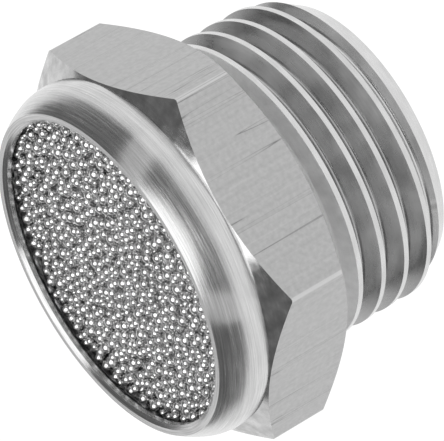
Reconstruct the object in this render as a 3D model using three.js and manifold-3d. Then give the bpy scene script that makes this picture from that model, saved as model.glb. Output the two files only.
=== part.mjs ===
// Flat silencer for compressed air, G 1/2: a hexagon body turned in one piece with a threaded nipple,
// a hexagon and a collar whose lip is rolled inward over a sintered disc.
// Millimetres. The origin is the centre of the thread's end face, and +Z runs along the axis to the disc.

import * as THREE from 'three';
import { mergeVertices } from 'three/addons/utils/BufferGeometryUtils.js';
import Module from 'manifold-3d';

const DEGREE = Math.PI / 180;

// Hexagon. Two opposite corners lie on the X axis.
const ACROSS_FLATS = 24;
const HEX_HEIGHT = 6.1;
const HEX_CORNER_RADIUS = 0.3;
const HEX_CHAMFER_ANGLE = 30 * DEGREE;
const SEAT_EDGE_STEP = 0.1;
const SEAT_RELIEF_CLEARANCE = 0.25;
const SEAT_RELIEF_DEPTH = 0.2;

// Threaded nipple. The crest and root are the flats that the 55 degree flanks leave.
const NIPPLE_LENGTH = 10;
const THREAD_MAJOR_DIAMETER = 20.75;
const THREAD_PITCH = 1.814;
const THREAD_CREST_WIDTH = 0.355;
const THREAD_ROOT_WIDTH = 0.335;
const THREAD_FLANK_ANGLE = 27.5 * DEGREE;
const FIRST_GROOVE_ANGLE = -90 * DEGREE;
const FIRST_GROOVE_BELOW_SEAT = 1.21;
const LEAD_CHAMFER_ANGLE = 32 * DEGREE;
const LEAD_CHAMFER_DEPTH = 1.18;
const NECK_WIDTH = 1.1;
const NECK_UNDERCUT = 0.15;
const NECK_SHOULDER_ANGLE = 20 * DEGREE;

// Air bore and the chamber that opens it out under the disc.
const NIPPLE_WALL = 2.05;
const BORE_EDGE_CHAMFER = 0.5;
const CHAMBER_SLOPE = 45 * DEGREE;

// Collar. Its outside is two arcs that meet at its widest place, the belly, which is as wide as the
// hexagon across its flats: one runs down to the collar's foot, the other up to the lip's end face.
const COLLAR_HEIGHT = 3.1;
const COLLAR_FOOT_STEP = 0.2;
const BELLY_HEIGHT = 0.5;
const COLLAR_WALL = 1.15;
const LIP_DRAW_IN = 0.96;
const LIP_FACE_WIDTH = 0.4;
const LIP_BEVEL_WIDTH = 0.25;
const LIP_BEVEL_DEPTH = 0.47;
const LIP_UNDERSIDE_ANGLE = 40 * DEGREE;

// Sintered disc. It stands on the shoulder and stays below the lip's inner edge.
const DISC_THICKNESS = 3.05;
const DISC_SIDE_CLEARANCE = 0.15;
const DISC_RECESS = 0.28;
const DISC_TOP_EDGE = 0.5;
const DISC_BOTTOM_EDGE = 0.3;
const SHOULDER_WIDTH = 1.15;

// Fineness of the round stretches.
const TURN_SEGMENTS = 72;
const THREAD_STEPS_PER_TURN = 36;
const FOOT_ARC_STEPS = 3;
const BELLY_ARC_STEPS = 7;
const HEX_CORNER_SEGMENTS = 2;

// How far a cutter runs past the face that it cuts, and how deep joined solids sink into each other.
const OVERRUN = 1;
const GROOVE_PROUD = 0.2;
const JOIN_DEPTH = 1;

// Heights and radii that follow from the sizes above.
const SEAT_Z = NIPPLE_LENGTH;
const HEX_TOP_Z = SEAT_Z + HEX_HEIGHT;
const LIP_TOP_Z = HEX_TOP_Z + COLLAR_HEIGHT;
const CREST_RADIUS = THREAD_MAJOR_DIAMETER / 2;
const GROOVE_WIDTH = THREAD_PITCH - THREAD_CREST_WIDTH;
const THREAD_DEPTH = (GROOVE_WIDTH - THREAD_ROOT_WIDTH) / (2 * Math.tan(THREAD_FLANK_ANGLE));
const ROOT_RADIUS = CREST_RADIUS - THREAD_DEPTH;
const NECK_RADIUS = ROOT_RADIUS - NECK_UNDERCUT;
const NECK_FOOT_Z = SEAT_Z - NECK_WIDTH;
const BORE_RADIUS = ROOT_RADIUS - NIPPLE_WALL;
const HEX_CORNER_REACH = ACROSS_FLATS / Math.sqrt(3);
const SEAT_RADIUS = ACROSS_FLATS / 2 - SEAT_EDGE_STEP;
const SEAT_RELIEF_RADIUS = CREST_RADIUS + SEAT_RELIEF_CLEARANCE;
const SEAT_RELIEF_Z = SEAT_Z + SEAT_RELIEF_DEPTH;
const COLLAR_RADIUS = ACROSS_FLATS / 2;
const COLLAR_FOOT_RADIUS = COLLAR_RADIUS - COLLAR_FOOT_STEP;
const BELLY_Z = HEX_TOP_Z + BELLY_HEIGHT;
const LIP_OUTER_RADIUS = COLLAR_RADIUS - LIP_DRAW_IN;
const LIP_FACE_INNER_RADIUS = LIP_OUTER_RADIUS - LIP_FACE_WIDTH;
const LIP_INNER_RADIUS = LIP_FACE_INNER_RADIUS - LIP_BEVEL_WIDTH;
const LIP_INNER_Z = LIP_TOP_Z - LIP_BEVEL_DEPTH;
const POCKET_RADIUS = COLLAR_RADIUS - COLLAR_WALL;
const LIP_REACH = POCKET_RADIUS - LIP_INNER_RADIUS;
const LIP_UNDERSIDE_Z = LIP_INNER_Z - LIP_REACH * Math.tan(LIP_UNDERSIDE_ANGLE);
const DISC_RADIUS = POCKET_RADIUS - DISC_SIDE_CLEARANCE;
const DISC_TOP_Z = LIP_INNER_Z - DISC_RECESS;
const SHOULDER_Z = DISC_TOP_Z - DISC_THICKNESS;
const CHAMBER_RADIUS = POCKET_RADIUS - SHOULDER_WIDTH;
const CHAMBER_FOOT_Z = SHOULDER_Z - (CHAMBER_RADIUS - BORE_RADIUS) / Math.tan(CHAMBER_SLOPE);

const wasm = await Module();
wasm.setup();

// Turns a closed geometry into a solid that can be joined and cut.
function solidOf(geometry) {
  geometry.deleteAttribute('normal');
  geometry.deleteAttribute('uv');
  const merged = mergeVertices(geometry, 1e-5);
  return new wasm.Manifold(new wasm.Mesh({
    numProp: 3,
    vertProperties: new Float32Array(merged.attributes.position.array),
    triVerts: new Uint32Array(merged.index.array),
  }));
}

// Turns a solid back into a geometry.
function geometryOf(solid) {
  const mesh = solid.getMesh();
  const geometry = new THREE.BufferGeometry();
  geometry.setAttribute('position', new THREE.BufferAttribute(mesh.vertProperties, 3));
  geometry.setIndex(new THREE.BufferAttribute(mesh.triVerts, 1));
  geometry.computeVertexNormals();
  return geometry;
}

// Revolves a profile of [radius, height] points, listed upwards from axis to axis, about +Z.
function turned(profile) {
  const points = profile.map(([radius, height]) => new THREE.Vector2(radius, height));
  return new THREE.LatheGeometry(points, TURN_SEGMENTS).rotateX(Math.PI / 2);
}

// Points of an arc that leaves the belly upright and ends at [radius, height], listed from its end to
// the belly when it runs down and from the belly to its end when it runs up.
function collarArc(radius, height, steps) {
  const drawIn = COLLAR_RADIUS - radius;
  const rise = height - BELLY_Z;
  const arcRadius = (drawIn ** 2 + rise ** 2) / (2 * drawIn);
  const sweep = Math.asin(rise / arcRadius);
  const points = [];
  for (let i = 0; i <= steps; i += 1) {
    const angle = sweep * i / steps;
    points.push([
      COLLAR_RADIUS - arcRadius * (1 - Math.cos(angle)),
      BELLY_Z + arcRadius * Math.sin(angle),
    ]);
  }
  return rise < 0 ? points.reverse() : points;
}

// The nipple before threading, with its lead chamfer and the neck that the thread runs out into.
// Its top sinks into the hexagon.
function nippleBlank() {
  const leadRadius = CREST_RADIUS - LEAD_CHAMFER_DEPTH;
  const leadLength = LEAD_CHAMFER_DEPTH / Math.tan(LEAD_CHAMFER_ANGLE);
  const shoulder = (CREST_RADIUS - NECK_RADIUS) * Math.tan(NECK_SHOULDER_ANGLE);
  return solidOf(turned([
    [0, 0],
    [leadRadius, 0],
    [CREST_RADIUS, leadLength],
    [CREST_RADIUS, NECK_FOOT_Z - shoulder],
    [NECK_RADIUS, NECK_FOOT_Z],
    [NECK_RADIUS, SEAT_Z + JOIN_DEPTH],
    [0, SEAT_Z + JOIN_DEPTH],
  ]));
}

// The solid collar. Its foot sinks into the hexagon.
function collarBlank() {
  return solidOf(turned([
    [0, HEX_TOP_Z - JOIN_DEPTH],
    [COLLAR_FOOT_RADIUS, HEX_TOP_Z - JOIN_DEPTH],
    ...collarArc(COLLAR_FOOT_RADIUS, HEX_TOP_Z, FOOT_ARC_STEPS),
    ...collarArc(LIP_OUTER_RADIUS, LIP_TOP_Z, BELLY_ARC_STEPS).slice(1),
    [0, LIP_TOP_Z],
  ]));
}

// Outline of the hexagon bar, with its six corners rounded.
function hexOutline() {
  const outline = new THREE.Shape();
  const centreReach = HEX_CORNER_REACH - HEX_CORNER_RADIUS / Math.cos(30 * DEGREE);
  for (let corner = 0; corner < 6; corner += 1) {
    const angle = corner * 60 * DEGREE;
    for (let i = 0; i <= HEX_CORNER_SEGMENTS; i += 1) {
      const turn = angle + (i / HEX_CORNER_SEGMENTS - 0.5) * 60 * DEGREE;
      const x = centreReach * Math.cos(angle) + HEX_CORNER_RADIUS * Math.cos(turn);
      const y = centreReach * Math.sin(angle) + HEX_CORNER_RADIUS * Math.sin(turn);
      if (corner + i === 0) outline.moveTo(x, y);
      else outline.lineTo(x, y);
    }
  }
  return outline;
}

// The hexagon with a cone turned on each end, as wide at its small end as the seat and the collar's
// foot.
function chamferedHexagon() {
  const slope = Math.tan(HEX_CHAMFER_ANGLE);
  const reach = HEX_CORNER_REACH + OVERRUN;
  const bar = solidOf(new THREE.ExtrudeGeometry(hexOutline(), {
    depth: HEX_HEIGHT,
    bevelEnabled: false,
  }).translate(0, 0, SEAT_Z));
  const cones = solidOf(turned([
    [0, SEAT_Z],
    [SEAT_RADIUS, SEAT_Z],
    [reach, SEAT_Z + (reach - SEAT_RADIUS) * slope],
    [reach, HEX_TOP_Z - (reach - COLLAR_FOOT_RADIUS) * slope],
    [COLLAR_FOOT_RADIUS, HEX_TOP_Z],
    [0, HEX_TOP_Z],
  ]));
  return bar.intersect(cones).subtract(seatRelief());
}

// The shallow relief inside the seat. It clears the thread and leaves a flat ring around itself.
function seatRelief() {
  return solidOf(turned([
    [0, SEAT_Z - OVERRUN],
    [SEAT_RELIEF_RADIUS, SEAT_Z - OVERRUN],
    [SEAT_RELIEF_RADIUS, SEAT_RELIEF_Z],
    [0, SEAT_RELIEF_Z],
  ]));
}

// Everything bored out of the body: air bore, chamber, disc pocket and the lip's opening.
function boredOut() {
  const flare = BORE_EDGE_CHAMFER + OVERRUN;
  const rise = OVERRUN * LIP_BEVEL_WIDTH / LIP_BEVEL_DEPTH;
  return solidOf(turned([
    [0, -OVERRUN],
    [BORE_RADIUS + flare, -OVERRUN],
    [BORE_RADIUS, BORE_EDGE_CHAMFER],
    [BORE_RADIUS, CHAMBER_FOOT_Z],
    [CHAMBER_RADIUS, SHOULDER_Z],
    [POCKET_RADIUS, SHOULDER_Z],
    [POCKET_RADIUS, LIP_UNDERSIDE_Z],
    [LIP_INNER_RADIUS, LIP_INNER_Z],
    [LIP_FACE_INNER_RADIUS + rise, LIP_TOP_Z + OVERRUN],
    [0, LIP_TOP_Z + OVERRUN],
  ]));
}

// Right-hand helix of the groove's root, from past the thread's end up to where the groove is in the
// neck and cuts nothing.
class GroovePath extends THREE.Curve {
  constructor() {
    super();
    this.firstZ = SEAT_Z - FIRST_GROOVE_BELOW_SEAT;
    this.topZ = NECK_FOOT_Z + GROOVE_WIDTH;
    this.turns = (this.topZ + GROOVE_WIDTH) / THREAD_PITCH;
  }

  heightAt(t) {
    return this.topZ - (1 - t) * this.turns * THREAD_PITCH;
  }

  angleAt(t) {
    return FIRST_GROOVE_ANGLE + 2 * Math.PI * (this.heightAt(t) - this.firstZ) / THREAD_PITCH;
  }

  getPoint(t, target = new THREE.Vector3()) {
    const angle = this.angleAt(t);
    const x = ROOT_RADIUS * Math.cos(angle);
    const y = ROOT_RADIUS * Math.sin(angle);
    return target.set(x, y, this.heightAt(t));
  }

  getPointAt(u, target) {
    return this.getPoint(u, target);
  }

  // The section stays in the plane through the axis, with its first axis radial.
  computeFrenetFrames(segments) {
    const frames = { tangents: [], normals: [], binormals: [] };
    for (let i = 0; i <= segments; i += 1) {
      const angle = this.angleAt(i / segments);
      frames.tangents.push(this.getTangent(i / segments));
      frames.normals.push(new THREE.Vector3(Math.cos(angle), Math.sin(angle), 0));
      frames.binormals.push(new THREE.Vector3(0, 0, -1));
    }
    return frames;
  }
}

// The metal taken out between the thread's crests.
function threadGroove() {
  const path = new GroovePath();
  const proud = THREAD_DEPTH + GROOVE_PROUD;
  const rootHalf = THREAD_ROOT_WIDTH / 2;
  const proudHalf = rootHalf + proud * Math.tan(THREAD_FLANK_ANGLE);
  const section = new THREE.Shape([
    new THREE.Vector2(0, -rootHalf),
    new THREE.Vector2(proud, -proudHalf),
    new THREE.Vector2(proud, proudHalf),
    new THREE.Vector2(0, rootHalf),
  ]);
  return solidOf(new THREE.ExtrudeGeometry(section, {
    steps: Math.round(path.turns * THREAD_STEPS_PER_TURN),
    extrudePath: path,
    bevelEnabled: false,
  }));
}

function silencerBody() {
  const nipple = nippleBlank().subtract(threadGroove());
  const body = nipple.add(chamferedHexagon()).add(collarBlank()).subtract(boredOut());
  const steel = new THREE.MeshStandardMaterial({ color: 0xb4b5b5, roughness: 0.35, metalness: 1 });
  const mesh = new THREE.Mesh(geometryOf(body), steel);
  mesh.name = 'silencer_body';
  return mesh;
}

// The disc is drawn from its own underside and stands on the pocket's shoulder.
function sinteredDisc() {
  const disc = turned([
    [0, 0],
    [DISC_RADIUS - DISC_BOTTOM_EDGE, 0],
    [DISC_RADIUS, DISC_BOTTOM_EDGE],
    [DISC_RADIUS, DISC_THICKNESS - DISC_TOP_EDGE],
    [DISC_RADIUS - DISC_TOP_EDGE, DISC_THICKNESS],
    [0, DISC_THICKNESS],
  ]);
  const sinter = new THREE.MeshStandardMaterial({ color: 0x9c9c9c, roughness: 0.3, metalness: 1 });
  const mesh = new THREE.Mesh(disc, sinter);
  mesh.name = 'sintered_disc';
  mesh.position.z = SHOULDER_Z;
  return mesh;
}

const silencer = new THREE.Group();
silencer.add(silencerBody());
silencer.add(sinteredDisc());

export default silencer;
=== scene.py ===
import math
import random

import bmesh
import bpy
from mathutils import Matrix, Vector


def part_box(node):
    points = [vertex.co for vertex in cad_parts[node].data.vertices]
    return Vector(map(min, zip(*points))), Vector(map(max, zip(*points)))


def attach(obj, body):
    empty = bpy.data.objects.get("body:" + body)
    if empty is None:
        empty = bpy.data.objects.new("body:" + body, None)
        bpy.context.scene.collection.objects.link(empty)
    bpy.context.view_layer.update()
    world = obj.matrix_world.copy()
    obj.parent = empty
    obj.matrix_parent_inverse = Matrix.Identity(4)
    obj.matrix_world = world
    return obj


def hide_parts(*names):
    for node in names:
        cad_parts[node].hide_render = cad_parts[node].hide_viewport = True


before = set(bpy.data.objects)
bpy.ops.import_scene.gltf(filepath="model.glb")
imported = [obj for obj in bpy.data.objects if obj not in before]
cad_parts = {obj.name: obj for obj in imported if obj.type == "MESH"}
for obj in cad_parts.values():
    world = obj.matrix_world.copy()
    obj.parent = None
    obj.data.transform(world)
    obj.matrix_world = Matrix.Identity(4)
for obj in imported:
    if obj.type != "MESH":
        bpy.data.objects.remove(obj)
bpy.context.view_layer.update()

# Flat silencer for compressed air, G 1/2. The body is one turned piece: a threaded nipple, a hexagon and
# a collar with its lip rolled in over a disc of sintered steel balls.
# Pieces are shaped in millimetres and brought to metres when they are finished. +Z is the axis, and the
# origin is the centre of the nipple's end face.

MM = 0.001
DEGREE = math.radians(1)

_, body_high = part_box("silencer_body")
disc_low, disc_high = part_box("sintered_disc")

# Hexagon. Two opposite corners lie on the X axis.
NIPPLE_LENGTH = 10.0
HEX_HEIGHT = 6.1
HEX_CORNER_RADIUS = 0.3
HEX_CHAMFER_SLOPE = math.tan(30 * DEGREE)
SEAT_EDGE_STEP = 0.1
HALF_FLATS = body_high.y / MM
HEX_CORNER_REACH = HALF_FLATS / math.cos(30 * DEGREE)
SEAT_Z = NIPPLE_LENGTH
SEAT_RADIUS = HALF_FLATS - SEAT_EDGE_STEP
HEX_TOP_Z = SEAT_Z + HEX_HEIGHT

# Threaded nipple. The crest and the root are the flats that the 55 degree flanks leave.
CREST_RADIUS = 10.375
PITCH = 1.814
CREST_WIDTH = 0.355
ROOT_WIDTH = 0.335
ROOT_ROUNDING = 0.16
FLANK_SLOPE = math.tan(27.5 * DEGREE)
FIRST_GROOVE_BELOW_SEAT = 1.21
NECK_WIDTH = 1.1
NECK_UNDERCUT = 0.15
NECK_SHOULDER_SLOPE = math.tan(20 * DEGREE)
LEAD_CHAMFER_DEPTH = 1.18
LEAD_CHAMFER_SLOPE = math.tan(32 * DEGREE)
RELIEF_CLEARANCE = 0.25
RELIEF_DEPTH = 0.2
GROOVE_WIDTH = PITCH - CREST_WIDTH
THREAD_DEPTH = (GROOVE_WIDTH - ROOT_WIDTH) / (2 * FLANK_SLOPE)
ROOT_RADIUS = CREST_RADIUS - THREAD_DEPTH
NECK_RADIUS = ROOT_RADIUS - NECK_UNDERCUT
NECK_FOOT_Z = SEAT_Z - NECK_WIDTH
NECK_SHOULDER = (CREST_RADIUS - NECK_RADIUS) * NECK_SHOULDER_SLOPE
LEAD_RADIUS = CREST_RADIUS - LEAD_CHAMFER_DEPTH
LEAD_LENGTH = LEAD_CHAMFER_DEPTH / LEAD_CHAMFER_SLOPE
FIRST_GROOVE_Z = SEAT_Z - FIRST_GROOVE_BELOW_SEAT
RELIEF_RADIUS = CREST_RADIUS + RELIEF_CLEARANCE
RELIEF_Z = SEAT_Z + RELIEF_DEPTH

# Collar and its lip. LIP_ARCS are arcs that follow each other up from the belly: the slope at which
# each one ends, in degrees from upright, and its length.
CONE_END_STEP = 0.2
COLLAR_FOOT_STEP = 0.09
BELLY_HEIGHT = 0.5
LIP_ARCS = ((12.5, 0.86), (23, 0.44), (26, 0.44), (33, 0.61), (38, 0.46))
LIP_DRAW_IN = 0.96
LIP_FACE_WIDTH = 0.4
LIP_BREAK_WIDTH = 0.25
LIP_BREAK_DEPTH = 0.2
LIP_INNER_DEPTH = 0.5
LIP_UNDERSIDE_SLOPE = math.tan(40 * DEGREE)
LIP_TOP_Z = body_high.z / MM
COLLAR_RADIUS = HALF_FLATS
CONE_END_RADIUS = COLLAR_RADIUS - CONE_END_STEP
COLLAR_FOOT_RADIUS = COLLAR_RADIUS - COLLAR_FOOT_STEP
COLLAR_FOOT_Z = HEX_TOP_Z - (COLLAR_FOOT_RADIUS - CONE_END_RADIUS) * HEX_CHAMFER_SLOPE
BELLY_Z = HEX_TOP_Z + BELLY_HEIGHT
LIP_OUTER_RADIUS = COLLAR_RADIUS - LIP_DRAW_IN
LIP_FACE_INNER_RADIUS = LIP_OUTER_RADIUS - LIP_FACE_WIDTH
LIP_INNER_RADIUS = LIP_FACE_INNER_RADIUS - LIP_BREAK_WIDTH
LIP_BREAK_Z = LIP_TOP_Z - LIP_BREAK_DEPTH
LIP_INNER_Z = LIP_TOP_Z - LIP_INNER_DEPTH

# Disc pocket, chamber and air bore.
DISC_SIDE_CLEARANCE = 0.15
SHOULDER_WIDTH = 1.15
NIPPLE_WALL = 2.05
BORE_EDGE = 0.5
SHOULDER_Z = disc_low.z / MM
DISC_RADIUS = disc_high.x / MM
POCKET_RADIUS = DISC_RADIUS + DISC_SIDE_CLEARANCE
LIP_UNDERSIDE_Z = LIP_INNER_Z - (POCKET_RADIUS - LIP_INNER_RADIUS) * LIP_UNDERSIDE_SLOPE
CHAMBER_RADIUS = POCKET_RADIUS - SHOULDER_WIDTH
BORE_RADIUS = ROOT_RADIUS - NIPPLE_WALL
CHAMBER_FOOT_Z = SHOULDER_Z - (CHAMBER_RADIUS - BORE_RADIUS)

# Ball bed, built down from the face. Radii are drawn around BALL_RADIUS with this spread. The centres
# of two balls that touch are NECK_BITE of their radii's sum apart. Each ball takes the place nearest
# the face of those tried, and the bed is full once enough balls have been turned away. Places are
# drawn a little past the side, so that a row of balls stands against it. Balls below SHOWN_DEPTH have
# fewer faces. BALL_SHEEN is the roughness that the brightest and the dullest ball add to the finish.
BALL_RADIUS = 0.315
BALL_SPREAD = 0.05
BALL_SMALLEST = 0.22
BALL_LARGEST = 0.42
NECK_BITE = 0.95
PLACES_TRIED = 30
BALLS_TURNED_AWAY = 60
WALL_SHARE = 1.03
UNEVEN = 0.05
SHOWN_DEPTH = 0.9
PACKING_SEED = 12
TURNING_SEED = 5
BALL_SHEEN = (0.02, 0.22)
DISC_TOP_Z = disc_high.z / MM
DISC_THICKNESS = DISC_TOP_Z - SHOULDER_Z

# Fineness of the round stretches, the sharpest turn between faces that still shades smoothly, and how
# far a cutter runs past the face that it cuts.
TURN_STEPS = 360
THREAD_STEPS = 144
CORNER_STEPS = 5
FOOT_STEPS = 8
LIP_STEPS = 7
SMOOTH_BELOW = 24 * DEGREE
OVERRUN = 1.0
GROOVE_PROUD = 0.2

# Studio: how far the lamps stand from the silencer, and the table's radius, in metres.
LAMP_DISTANCE = 0.9
TABLE_RADIUS = 3.0
TABLE_EDGES = 96


# ---------------------------------------------------------------- mesh helpers

def mesh_of(bm, name):
    mesh = bpy.data.meshes.new(name)
    bm.to_mesh(mesh)
    bm.free()
    return mesh


def solid(bm, name):
    """A closed bmesh as an object, with its faces pointing out."""
    bmesh.ops.remove_doubles(bm, verts=bm.verts, dist=1e-5)
    bmesh.ops.recalc_face_normals(bm, faces=bm.faces)
    piece = bpy.data.objects.new(name, mesh_of(bm, name))
    bpy.context.scene.collection.objects.link(piece)
    return piece


def turned(profile, name):
    """Spins a profile of (radius, height) points, listed upwards from axis to axis."""
    bm = bmesh.new()
    points = [bm.verts.new((radius, 0, height)) for radius, height in profile]
    edges = [bm.edges.new(pair) for pair in zip(points, points[1:])]
    bmesh.ops.spin(bm, geom=points + edges, cent=(0, 0, 0), axis=(0, 0, 1), dvec=(0, 0, 0),
                   angle=math.tau, steps=TURN_STEPS, use_merge=True)
    return solid(bm, name)


def combined(piece, other, how):
    """Cuts or joins two solids and uses the other one up."""
    tool = piece.modifiers.new(how.lower(), "BOOLEAN")
    tool.operation = how
    tool.solver = "MANIFOLD"
    tool.object = other
    depsgraph = bpy.context.evaluated_depsgraph_get()
    made = bpy.data.meshes.new_from_object(piece.evaluated_get(depsgraph))
    piece.modifiers.clear()
    piece.data = made
    bpy.data.objects.remove(other)
    return piece


def collar_foot(steps):
    """Points of the arc from the hexagon's cone up to the belly, where it stands upright."""
    draw_in = COLLAR_RADIUS - COLLAR_FOOT_RADIUS
    drop = BELLY_Z - COLLAR_FOOT_Z
    arc_radius = (draw_in ** 2 + drop ** 2) / (2 * draw_in)
    sweep = math.asin(drop / arc_radius)
    turns = [sweep * (1 - i / steps) for i in range(steps + 1)]
    return [(COLLAR_RADIUS - arc_radius * (1 - math.cos(t)), BELLY_Z - arc_radius * math.sin(t))
            for t in turns]


def rolled_lip(steps):
    """Points from the belly to the lip's outer edge: arcs that each end at a slope, in degrees from
    upright, after a length in millimetres. All are stretched alike to end at the edge."""
    radius, height, slope = 0.0, 0.0, 0.0
    points = []
    for end_slope, length in LIP_ARCS:
        for i in range(steps):
            middle = (slope + (end_slope - slope) * (i + 0.5) / steps) * DEGREE
            radius += length / steps * math.sin(middle)
            height += length / steps * math.cos(middle)
            points.append((radius, height))
        slope = end_slope
    wide = (COLLAR_RADIUS - LIP_OUTER_RADIUS) / radius
    tall = (LIP_TOP_Z - BELLY_Z) / height
    return [(COLLAR_RADIUS - x * wide, BELLY_Z + y * tall) for x, y in points]


# ---------------------------------------------------------------- turned body

def nipple():
    blank = turned([
        (0, 0),
        (LEAD_RADIUS, 0),
        (CREST_RADIUS, LEAD_LENGTH),
        (CREST_RADIUS, NECK_FOOT_Z - NECK_SHOULDER),
        (NECK_RADIUS, NECK_FOOT_Z),
        (NECK_RADIUS, SEAT_Z + OVERRUN),
        (0, SEAT_Z + OVERRUN),
    ], "nipple")
    return combined(blank, thread_groove(), "DIFFERENCE")


def thread_groove():
    """The right-hand groove between the crests, from below the end face up into the neck."""
    half_root = ROOT_WIDTH / 2
    half_mouth = half_root + (THREAD_DEPTH + GROOVE_PROUD) * FLANK_SLOPE
    top_z = NECK_FOOT_Z + GROOVE_WIDTH
    turns = math.ceil((top_z + GROOVE_WIDTH) / PITCH)
    foot_z = top_z - turns * PITCH
    start = -90 * DEGREE + math.tau * (foot_z - FIRST_GROOVE_Z) / PITCH
    bm = bmesh.new()
    corners = [
        bm.verts.new((ROOT_RADIUS, 0, foot_z - half_root)),
        bm.verts.new((CREST_RADIUS + GROOVE_PROUD, 0, foot_z - half_mouth)),
        bm.verts.new((CREST_RADIUS + GROOVE_PROUD, 0, foot_z + half_mouth)),
        bm.verts.new((ROOT_RADIUS, 0, foot_z + half_root)),
    ]
    bm.faces.new(corners)
    bmesh.ops.bevel(bm, geom=[corners[0], corners[3]], offset=ROOT_ROUNDING, offset_type="OFFSET",
                    segments=CORNER_STEPS, profile=0.5, affect="VERTICES", material=-1)
    bmesh.ops.delete(bm, geom=bm.faces[:], context="FACES_ONLY")
    corners, edges = bm.verts[:], bm.edges[:]
    bmesh.ops.rotate(bm, verts=corners, cent=(0, 0, 0), matrix=Matrix.Rotation(start, 3, "Z"))
    bmesh.ops.spin(bm, geom=corners + edges, cent=(0, 0, 0), axis=(0, 0, 1),
                   dvec=(0, 0, PITCH / THREAD_STEPS), angle=turns * math.tau,
                   steps=turns * THREAD_STEPS, use_merge=False)
    bmesh.ops.holes_fill(bm, edges=[e for e in bm.edges if e.is_boundary], sides=len(corners))
    return solid(bm, "groove")


def hexagon_and_collar():
    reach = HEX_CORNER_REACH + OVERRUN
    blank = turned([
        (0, RELIEF_Z),
        (RELIEF_RADIUS, RELIEF_Z),
        (RELIEF_RADIUS, SEAT_Z),
        (SEAT_RADIUS, SEAT_Z),
        (reach, SEAT_Z + (reach - SEAT_RADIUS) * HEX_CHAMFER_SLOPE),
        (reach, HEX_TOP_Z - (reach - CONE_END_RADIUS) * HEX_CHAMFER_SLOPE),
        *collar_foot(FOOT_STEPS),
        *rolled_lip(LIP_STEPS),
        (0, LIP_TOP_Z),
    ], "collar")
    return combined(blank, outside_hexagon(), "DIFFERENCE")


def outside_hexagon():
    """A ring with a hexagonal hole: what is missing from the round bar around the hexagon. It ends
    above the flats and below the belly."""
    short_of_top = 0.06
    wider = 1.4
    low = SEAT_Z - OVERRUN
    high = HEX_TOP_Z - short_of_top
    bm = bmesh.new()
    made = bmesh.ops.create_circle(bm, cap_ends=False, segments=6, radius=HEX_CORNER_REACH)
    bmesh.ops.rotate(bm, verts=made["verts"], cent=(0, 0, 0), matrix=Matrix.Rotation(90 * DEGREE, 3, "Z"))
    tangent = HEX_CORNER_RADIUS * math.tan(30 * DEGREE)
    bmesh.ops.bevel(bm, geom=bm.verts[:], offset=tangent, offset_type="OFFSET", segments=CORNER_STEPS,
                    profile=0.5, affect="VERTICES", material=-1)
    inner = bm.edges[:]
    outer = bmesh.ops.extrude_edge_only(bm, edges=inner)["geom"]
    outer_verts = [v for v in outer if isinstance(v, bmesh.types.BMVert)]
    bmesh.ops.scale(bm, verts=outer_verts, vec=(wider, wider, 1))
    bmesh.ops.translate(bm, verts=bm.verts, vec=(0, 0, low))
    lifted = bmesh.ops.extrude_face_region(bm, geom=bm.faces[:], use_keep_orig=True)["geom"]
    lifted_verts = [v for v in lifted if isinstance(v, bmesh.types.BMVert)]
    bmesh.ops.translate(bm, verts=lifted_verts, vec=(0, 0, high - low))
    return solid(bm, "outside")


def bored_out():
    flare = OVERRUN * (LIP_FACE_INNER_RADIUS - LIP_INNER_RADIUS) / (LIP_TOP_Z - LIP_BREAK_Z)
    return turned([
        (0, -OVERRUN),
        (BORE_RADIUS + BORE_EDGE + OVERRUN, -OVERRUN),
        (BORE_RADIUS, BORE_EDGE),
        (BORE_RADIUS, CHAMBER_FOOT_Z),
        (CHAMBER_RADIUS, SHOULDER_Z),
        (POCKET_RADIUS, SHOULDER_Z),
        (POCKET_RADIUS, LIP_UNDERSIDE_Z),
        (LIP_INNER_RADIUS, LIP_INNER_Z),
        (LIP_INNER_RADIUS, LIP_BREAK_Z),
        (LIP_FACE_INNER_RADIUS + flare, LIP_TOP_Z + OVERRUN),
        (0, LIP_TOP_Z + OVERRUN),
    ], "bore")


# The body's finishes, and the margins, in millimetres, by which its faces are told apart.
FINISHES = ("drawn_flat", "drawn_corner_painted_highlight", "turned_chamfer", "satin_collar", "thread_flank_painted_shade", "thread_crest",
            "turned_seat_painted_light", "bored_wall")
CLOSE = 0.01
CREST_MARGIN = 0.05
WALL_MARGIN = 0.1
HEX_MARGIN = 0.2
UNDERSIDE_SHOWN = 0.3


def finish_at(face):
    """Which finish a face of the body has, from where it is and which way it looks."""
    centre = face.calc_center_median()
    outward = Vector((centre.x, centre.y, 0)).normalized()
    radius = math.hypot(centre.x, centre.y)
    looks_out = face.normal.dot(outward) > 0.05
    upright = abs(face.normal.z) < 0.1
    if centre.z > LIP_INNER_Z - UNDERSIDE_SHOWN and radius > LIP_INNER_RADIUS - CLOSE:
        return "satin_collar"
    if centre.z > HEX_TOP_Z - HEX_MARGIN and looks_out and face.normal.z < 0.5:
        return "satin_collar"
    if centre.z > SEAT_Z + CLOSE and radius > SEAT_RADIUS - HEX_MARGIN:
        if not upright:
            return "turned_chamfer"
        # Painted highlight: the rounded corners between the flats take a lighter tone than the flats.
        across = (math.degrees(math.atan2(face.normal.y, face.normal.x)) - 30) % 60
        return "drawn_flat" if min(across, 60 - across) < 2 else "drawn_corner_painted_highlight"
    turn = (math.degrees(math.atan2(centre.y, centre.x)) + 270) % 360 - 180
    first_groove_foot = FIRST_GROOVE_Z - GROOVE_WIDTH / 2 + PITCH * turn / 360
    # Painted light: the faces under the hexagon, from the first groove up to the seat, take the lightest
    # tone on the body.
    if first_groove_foot < centre.z < RELIEF_Z + CLOSE and radius > NECK_RADIUS - WALL_MARGIN:
        return "turned_seat_painted_light"
    if centre.z < SEAT_Z and radius > BORE_RADIUS + BORE_EDGE + WALL_MARGIN:
        # Painted shade: thread faces other than the crests and the lead chamfer take a darker tone.
        on_crest = radius > CREST_RADIUS - CREST_MARGIN and upright
        return "thread_crest" if on_crest or centre.z < LEAD_LENGTH and looks_out else "thread_flank_painted_shade"
    return "bored_wall"


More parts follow.
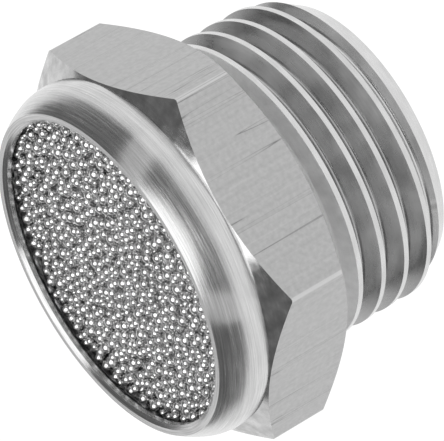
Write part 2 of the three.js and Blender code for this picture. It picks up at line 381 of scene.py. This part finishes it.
def turned_body(materials):
    body = combined(nipple(), hexagon_and_collar(), "UNION")
    body = combined(body, bored_out(), "DIFFERENCE")
    body.name = body.data.name = "turned_body"
    body.data.materials.clear()
    for name in FINISHES:
        body.data.materials.append(materials[name])
    bm = bmesh.new()
    bm.from_mesh(body.data)
    bmesh.ops.remove_doubles(bm, verts=bm.verts, dist=1e-4)
    bmesh.ops.dissolve_degenerate(bm, dist=1e-4, edges=bm.edges)
    bm.normal_update()
    for face in bm.faces:
        face.material_index = FINISHES.index(finish_at(face))
    bmesh.ops.scale(bm, verts=bm.verts, vec=(MM, MM, MM))
    bm.to_mesh(body.data)
    bm.free()
    body.data.shade_smooth()
    body.data.set_sharp_from_angle(angle=SMOOTH_BELOW)
    return body


# ---------------------------------------------------------------- ball bed

def packed_balls():
    """Balls settled one by one under the face: (x, y, depth below the face, radius) of each."""
    draw = random.Random(PACKING_SEED)
    cell = 2 * BALL_LARGEST
    heaps = {}
    balls = []
    misses = 0
    while misses < BALLS_TURNED_AWAY:
        radius = min(max(draw.gauss(BALL_RADIUS, BALL_SPREAD), BALL_SMALLEST), BALL_LARGEST)
        best = None
        for _ in range(PLACES_TRIED):
            away = min(WALL_SHARE * DISC_RADIUS * math.sqrt(draw.random()), DISC_RADIUS - radius)
            angle = draw.uniform(0, math.tau)
            x, y = away * math.cos(angle), away * math.sin(angle)
            depth = radius + draw.uniform(0, UNEVEN)
            column, row = int(x // cell), int(y // cell)
            for i in (column - 1, column, column + 1):
                for j in (row - 1, row, row + 1):
                    for ball_x, ball_y, ball_depth, ball_radius in heaps.get((i, j), ()):
                        reach = (radius + ball_radius) * NECK_BITE
                        spare = reach ** 2 - (x - ball_x) ** 2 - (y - ball_y) ** 2
                        if spare > 0:
                            depth = max(depth, ball_depth + math.sqrt(spare))
            if best is None or depth < best[2]:
                best = (x, y, depth, radius)
        if best[2] > DISC_THICKNESS - radius:
            misses += 1
            continue
        balls.append(best)
        heaps.setdefault((int(best[0] // cell), int(best[1] // cell)), []).append(best)
    return balls


def ball_bed(material):
    draw = random.Random(TURNING_SEED)
    shown = bpy.data.meshes.new("ball")
    buried = bpy.data.meshes.new("buried_ball")
    for mesh, fineness in ((shown, 2), (buried, 1)):
        bm = bmesh.new()
        bmesh.ops.create_icosphere(bm, subdivisions=fineness, radius=1)
        bm.to_mesh(mesh)
        bm.free()
    bm = bmesh.new()
    dullness = bm.verts.layers.float.new("dullness")
    for x, y, depth, radius in packed_balls():
        ball = (shown if depth < SHOWN_DEPTH else buried).copy()
        turn = Matrix.Rotation(draw.uniform(0, math.tau), 4, Vector((draw.gauss(0, 1), draw.gauss(0, 1), 1)))
        ball.transform(Matrix.Translation((x, y, DISC_TOP_Z - depth)) @ turn @ Matrix.Scale(radius, 4))
        first = len(bm.verts)
        bm.from_mesh(ball)
        bm.verts.ensure_lookup_table()
        own = draw.random()
        for vert in bm.verts[first:]:
            vert[dullness] = own
        bpy.data.meshes.remove(ball)
    bmesh.ops.scale(bm, verts=bm.verts, vec=(MM, MM, MM))
    bed = bpy.data.objects.new("ball_bed", mesh_of(bm, "ball_bed"))
    bpy.context.scene.collection.objects.link(bed)
    bed.data.materials.append(material)
    bed.data.shade_smooth()
    return bed


# ---------------------------------------------------------------- finishes

def group(name, inputs, outputs):
    """An empty node group with float inputs (name, value) and outputs (name, socket type)."""
    made = bpy.data.node_groups.new(name, "ShaderNodeTree")
    for label, value in inputs:
        socket = made.interface.new_socket(label, in_out="INPUT", socket_type="NodeSocketFloat")
        socket.default_value = value
    for label, kind in outputs:
        made.interface.new_socket(label, in_out="OUTPUT", socket_type=kind)
    return made, made.nodes.new("NodeGroupInput"), made.nodes.new("NodeGroupOutput")


def node(tree, kind, settings=None, **links):
    """Adds a node; links give a value or an output socket for each named or numbered input."""
    made = tree.nodes.new(kind)
    for name, value in (settings or {}).items():
        setattr(made, name, value)
    for name, value in links.items():
        key = int(name[1:]) if name[0] == "i" and name[1:].isdigit() else name.replace("_", " ")
        if isinstance(value, bpy.types.NodeSocket):
            tree.links.new(value, made.inputs[key])
        else:
            made.inputs[key].default_value = value
    return made


def millimetres(tree):
    """Object coordinates in millimetres, and their x, y and z."""
    place = node(tree, "ShaderNodeTexCoord").outputs["Object"]
    scaled = node(tree, "ShaderNodeVectorMath", {"operation": "SCALE"}, i0=place, i3=1 / MM).outputs[0]
    return scaled, node(tree, "ShaderNodeSeparateXYZ", i0=scaled).outputs


def maths(tree, how, a, b):
    return node(tree, "ShaderNodeMath", {"operation": how}, i0=a, i1=b).outputs[0]


def lathe_marks():
    """Fine rings left by the tool: lines around the axis that change slowly along the turn."""
    tree, given, out = group("lathe_marks", [("Lines per mm", 6), ("Wander", 3)],
                             [("Lines", "NodeSocketFloat")])
    _, (x, y, z) = millimetres(tree)
    flat = node(tree, "ShaderNodeCombineXYZ", i0=x, i1=y).outputs[0]
    radius = node(tree, "ShaderNodeVectorMath", {"operation": "LENGTH"}, i0=flat).outputs["Value"]
    around = node(tree, "ShaderNodeVectorMath", {"operation": "NORMALIZE"}, i0=flat).outputs[0]
    ax, ay, _ = node(tree, "ShaderNodeSeparateXYZ", i0=around).outputs
    fine = given.outputs["Lines per mm"]
    wander = given.outputs["Wander"]
    place = node(tree, "ShaderNodeCombineXYZ", i0=maths(tree, "MULTIPLY", radius, fine),
                 i1=maths(tree, "MULTIPLY", z, fine), i2=maths(tree, "MULTIPLY", ax, wander)).outputs[0]
    lines = node(tree, "ShaderNodeTexNoise", {"noise_dimensions": "4D"}, Vector=place,
                 W=maths(tree, "MULTIPLY", ay, wander), Scale=1.0, Detail=3.0, Roughness=0.65)
    tree.links.new(lines.outputs["Fac"], out.inputs["Lines"])
    return tree


def drawn_marks():
    """Streaks along the axis from drawing the bar, and a few deeper scratches, which are thin lines
    where a long wave passes a level."""
    waves_across = 2.3
    waves_along = 0.03
    level = 0.62
    half_width = 0.012
    tree, given, out = group("drawn_marks", [("Lines per mm", 7), ("Length", 25), ("Scratches", 1)],
                             [("Lines", "NodeSocketFloat"), ("Scratch", "NodeSocketFloat")])
    _, (x, y, z) = millimetres(tree)
    fine = given.outputs["Lines per mm"]
    along = maths(tree, "DIVIDE", z, given.outputs["Length"])
    place = node(tree, "ShaderNodeCombineXYZ", i0=maths(tree, "MULTIPLY", x, fine),
                 i1=maths(tree, "MULTIPLY", y, fine), i2=along).outputs[0]
    lines = node(tree, "ShaderNodeTexNoise", Vector=place, Scale=1.0, Detail=4.0, Roughness=0.6)
    tree.links.new(lines.outputs["Fac"], out.inputs["Lines"])
    sparse = node(tree, "ShaderNodeCombineXYZ", i0=maths(tree, "MULTIPLY", x, waves_across),
                  i1=maths(tree, "MULTIPLY", y, waves_across),
                  i2=maths(tree, "MULTIPLY", z, waves_along)).outputs[0]
    wave = node(tree, "ShaderNodeTexNoise", Vector=sparse, Scale=1.0, Detail=1.0, Roughness=0.4)
    off = maths(tree, "ABSOLUTE", maths(tree, "SUBTRACT", wave.outputs["Fac"], level), 0)
    thin = node(tree, "ShaderNodeMapRange", i0=off, i1=0.0, i2=half_width, i3=1.0, i4=0.0).outputs[0]
    tree.links.new(maths(tree, "MULTIPLY", thin, given.outputs["Scratches"]), out.inputs["Scratch"])
    return tree


def soft_clouds():
    """Slow uneven patches, as a wiped steel surface has."""
    tree, given, out = group("soft_clouds", [("Size mm", 2), ("Detail", 2)], [("Cloud", "NodeSocketFloat")])
    place, _ = millimetres(tree)
    per_mm = maths(tree, "DIVIDE", 1.0, given.outputs["Size mm"])
    cloud = node(tree, "ShaderNodeTexNoise", Vector=place, Scale=per_mm,
                 Detail=given.outputs["Detail"], Roughness=0.5)
    tree.links.new(cloud.outputs["Fac"], out.inputs["Cloud"])
    return tree


def between(tree, mask, low, high):
    """Turns a mask of 0.3 to 0.7 into a value from low to high."""
    return node(tree, "ShaderNodeMapRange", i0=mask, i1=0.3, i2=0.7, i3=low, i4=high).outputs[0]


def grey(tree, value):
    return node(tree, "ShaderNodeCombineColor", i0=value, i1=value, i2=value).outputs[0]


# The share of its light that the bottom of a scratch loses.
SCRATCH_DARK = 0.5


def steel(name, groups, marks, tone, roughness, clouds, depth, **shine):
    """A steel finish. marks names its group and that group's values; tone and roughness are each the
    values in a mark's hollow and on its top; clouds are the size of its slow patches, in millimetres,
    and their strength; depth is how high the marks stand, in millimetres."""
    made = bpy.data.materials.new(name)
    made.use_nodes = True
    tree = made.node_tree
    shader = tree.nodes["Principled BSDF"]
    kind, values = marks
    lines = node(tree, "ShaderNodeGroup", {"node_tree": groups[kind]})
    for label, value in values.items():
        lines.inputs[label].default_value = value
    cloud = node(tree, "ShaderNodeGroup", {"node_tree": groups["soft_clouds"]})
    cloud.inputs["Size mm"].default_value = clouds[0]
    shade = between(tree, lines.outputs["Lines"], *tone)
    patch = between(tree, cloud.outputs["Cloud"], 1 - clouds[1], 1 + clouds[1])
    shade = maths(tree, "MULTIPLY", shade, patch)
    height = lines.outputs["Lines"]
    if "Scratch" in lines.outputs:
        lost = maths(tree, "MULTIPLY", lines.outputs["Scratch"], -SCRATCH_DARK)
        shade = maths(tree, "MULTIPLY", shade, maths(tree, "ADD", lost, 1.0))
    tree.links.new(grey(tree, shade), shader.inputs["Base Color"])
    rough = between(tree, lines.outputs["Lines"], *roughness)
    tree.links.new(maths(tree, "MULTIPLY", rough, patch), shader.inputs["Roughness"])
    bump = node(tree, "ShaderNodeBump", Strength=1.0, Distance=depth * MM, Height=height)
    tree.links.new(bump.outputs[0], shader.inputs["Normal"])
    shader.inputs["Metallic"].default_value = 1.0
    for label, value in shine.items():
        shader.inputs[label.replace("_", " ")].default_value = value
    return made


def dulled(ball_steel):
    """Gives each ball its own sheen, from its dullness of 0 to 1."""
    tree = ball_steel.node_tree
    shader = tree.nodes["Principled BSDF"]
    own = node(tree, "ShaderNodeAttribute", {"attribute_name": "dullness"}).outputs["Fac"]
    sheen = node(tree, "ShaderNodeMapRange", i0=own, i3=BALL_SHEEN[0], i4=BALL_SHEEN[1]).outputs[0]
    polished = shader.inputs["Roughness"].links[0].from_socket
    tree.links.new(maths(tree, "ADD", polished, sheen), shader.inputs["Roughness"])
    return ball_steel


def finishes():
    groups = {made.name: made for made in (lathe_marks(), drawn_marks(), soft_clouds())}
    rings = "lathe_marks"
    return {
        "drawn_flat": steel("drawn_flat", groups, ("drawn_marks", {"Lines per mm": 6.0, "Length": 24.0}),
                            (0.41, 0.48), (0.3, 0.42), (0.3, 0.08), 0.003),
        # Painted highlight: the corners are the flats' drawn steel in a lighter tone.
        "drawn_corner_painted_highlight": steel("drawn_corner_painted_highlight", groups, ("drawn_marks", {"Lines per mm": 5.0, "Length": 30.0}),
                              (0.5, 0.6), (0.3, 0.4), (1.6, 0.05), 0.002),
        "turned_chamfer": steel("turned_chamfer", groups, (rings, {"Lines per mm": 8.0, "Wander": 4.0}),
                                (0.58, 0.64), (0.1, 0.16), (0.9, 0.22), 0.0005),
        "satin_collar": steel("satin_collar", groups, (rings, {"Lines per mm": 14.0, "Wander": 3.0}),
                              (0.46, 0.72), (0.18, 0.27), (2.0, 0.06), 0.002, Anisotropic=0.85,
                              Anisotropic_Rotation=0.25),
        # Painted shade: the flanks are the crests' turned steel in a darker tone.
        "thread_flank_painted_shade": steel("thread_flank_painted_shade", groups, (rings, {"Lines per mm": 5.0, "Wander": 6.0}),
                              (0.42, 0.5), (0.24, 0.34), (2.6, 0.2), 0.0005),
        "thread_crest": steel("thread_crest", groups, (rings, {"Lines per mm": 5.0, "Wander": 6.0}),
                              (0.58, 0.66), (0.2, 0.3), (1.6, 0.06), 0.0005),
        # Painted light: this turned steel is lightened to lift the shade under the hexagon.
        "turned_seat_painted_light": steel("turned_seat_painted_light", groups, (rings, {"Lines per mm": 5.0, "Wander": 6.0}),
                             (0.72, 0.78), (0.4, 0.5), (1.0, 0.1), 0.0005),
        "bored_wall": steel("bored_wall", groups, (rings, {"Lines per mm": 4.0, "Wander": 2.0}),
                            (0.5, 0.6), (0.2, 0.3), (2.0, 0.08), 0.002),
        "bright_ball": dulled(steel("bright_ball", groups, (rings, {"Lines per mm": 1.2, "Wander": 30.0}),
                                    (0.74, 0.88), (0.02, 0.06), (0.5, 0.1), 0.0003)),
    }


# ---------------------------------------------------------------- studio

def looking(position, target, up):
    """A placement at position whose -Z axis looks at target."""
    back = (position - target).normalized()
    right = up.cross(back).normalized()
    turn = Matrix((right, back.cross(right), back)).transposed().to_4x4()
    return Matrix.Translation(position) @ turn


def softbox(name, shape, azimuth, elevation, size, radiance, target):
    """A sheet of light that faces target: size is its width and height in metres."""
    lamp = bpy.data.lights.new(name, "AREA")
    lamp.shape = shape
    lamp.size, lamp.size_y = size
    area = size[0] * size[1] * (math.pi / 4 if shape == "ELLIPSE" else 1)
    lamp.energy = radiance * math.pi * area
    box = bpy.data.objects.new(name, lamp)
    bpy.context.scene.collection.objects.link(box)
    a, e = azimuth * DEGREE, elevation * DEGREE
    away = Vector((math.cos(a) * math.cos(e), math.sin(a) * math.cos(e), math.sin(e)))
    up = Vector((0, 0, 1)) if elevation < 60 else Vector((0, 1, 0))
    box.matrix_world = looking(target + away * LAMP_DISTANCE, target, up)


def studio():
    middle = Vector((0, 0, 0.012))
    bm = bmesh.new()
    bmesh.ops.create_circle(bm, cap_ends=True, segments=TABLE_EDGES, radius=TABLE_RADIUS)
    floor = bpy.data.objects.new("light_table", mesh_of(bm, "light_table"))
    bpy.context.scene.collection.objects.link(floor)
    pale = bpy.data.materials.new("light_table")
    pale.use_nodes = True
    shader = pale.node_tree.nodes["Principled BSDF"]
    shader.inputs["Base Color"].default_value = (0.1, 0.1, 0.1, 1)
    shader.inputs["Roughness"].default_value = 0.9
    shader.inputs["Specular IOR Level"].default_value = 0.0
    shader.inputs["Emission Color"].default_value = (1, 1, 1, 1)
    shader.inputs["Emission Strength"].default_value = 1.0
    floor.data.materials.append(pale)

    world = bpy.data.worlds.new("studio_dark")
    world.use_nodes = True
    world.node_tree.nodes["Background"].inputs["Color"].default_value = (1, 1, 1, 1)
    world.node_tree.nodes["Background"].inputs["Strength"].default_value = 0.16
    bpy.context.scene.world = world

    softbox("main_softbox", "ELLIPSE", -90, 66, (1.06, 1.24), 1.75, middle)
    softbox("left_strip", "RECTANGLE", -143, 27, (0.3, 0.94), 0.5, middle)
    softbox("right_strip", "RECTANGLE", -37, 27, (0.3, 0.94), 0.5, middle)
    softbox("back_softbox", "RECTANGLE", 90, 16, (1.1, 0.6), 0.7, middle)
    bpy.context.scene.view_settings.view_transform = "Standard"


def camera():
    """Looks along the silencer's face from the front, turned so that the axis runs down to the left."""
    tilt, turn, roll = 64.41 * DEGREE, -90.6 * DEGREE, -119.83 * DEGREE
    distance = 0.3219
    beside, above = 0.003686, 0.001475
    aim = Vector((0, 0, 0.014912))
    back = Vector((math.sin(tilt) * math.cos(turn), math.sin(tilt) * math.sin(turn), math.cos(tilt)))
    level = Vector((0, 0, 1)).cross(back).normalized()
    rise = back.cross(level)
    right = level * math.cos(roll) + rise * math.sin(roll)
    up = rise * math.cos(roll) - level * math.sin(roll)
    lens = bpy.data.cameras.new("camera")
    lens.lens = 424.3
    lens.sensor_width = 36
    lens.clip_start, lens.clip_end = 0.01, 10
    eye = bpy.data.objects.new("camera", lens)
    bpy.context.scene.collection.objects.link(eye)
    spot = aim + back * distance + right * beside + up * above
    eye.matrix_world = Matrix.Translation(spot) @ Matrix((right, up, back)).transposed().to_4x4()
    bpy.context.scene.camera = eye


# ---------------------------------------------------------------- assembly

materials = finishes()
body = turned_body(materials)
bed = ball_bed(materials["bright_ball"])
for piece, cad_node, slot in ((body, "silencer_body", "turned_stainless"),
                              (bed, "sintered_disc", "sintered_stainless")):
    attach(piece, "root")
    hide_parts(cad_node)
studio()
camera()
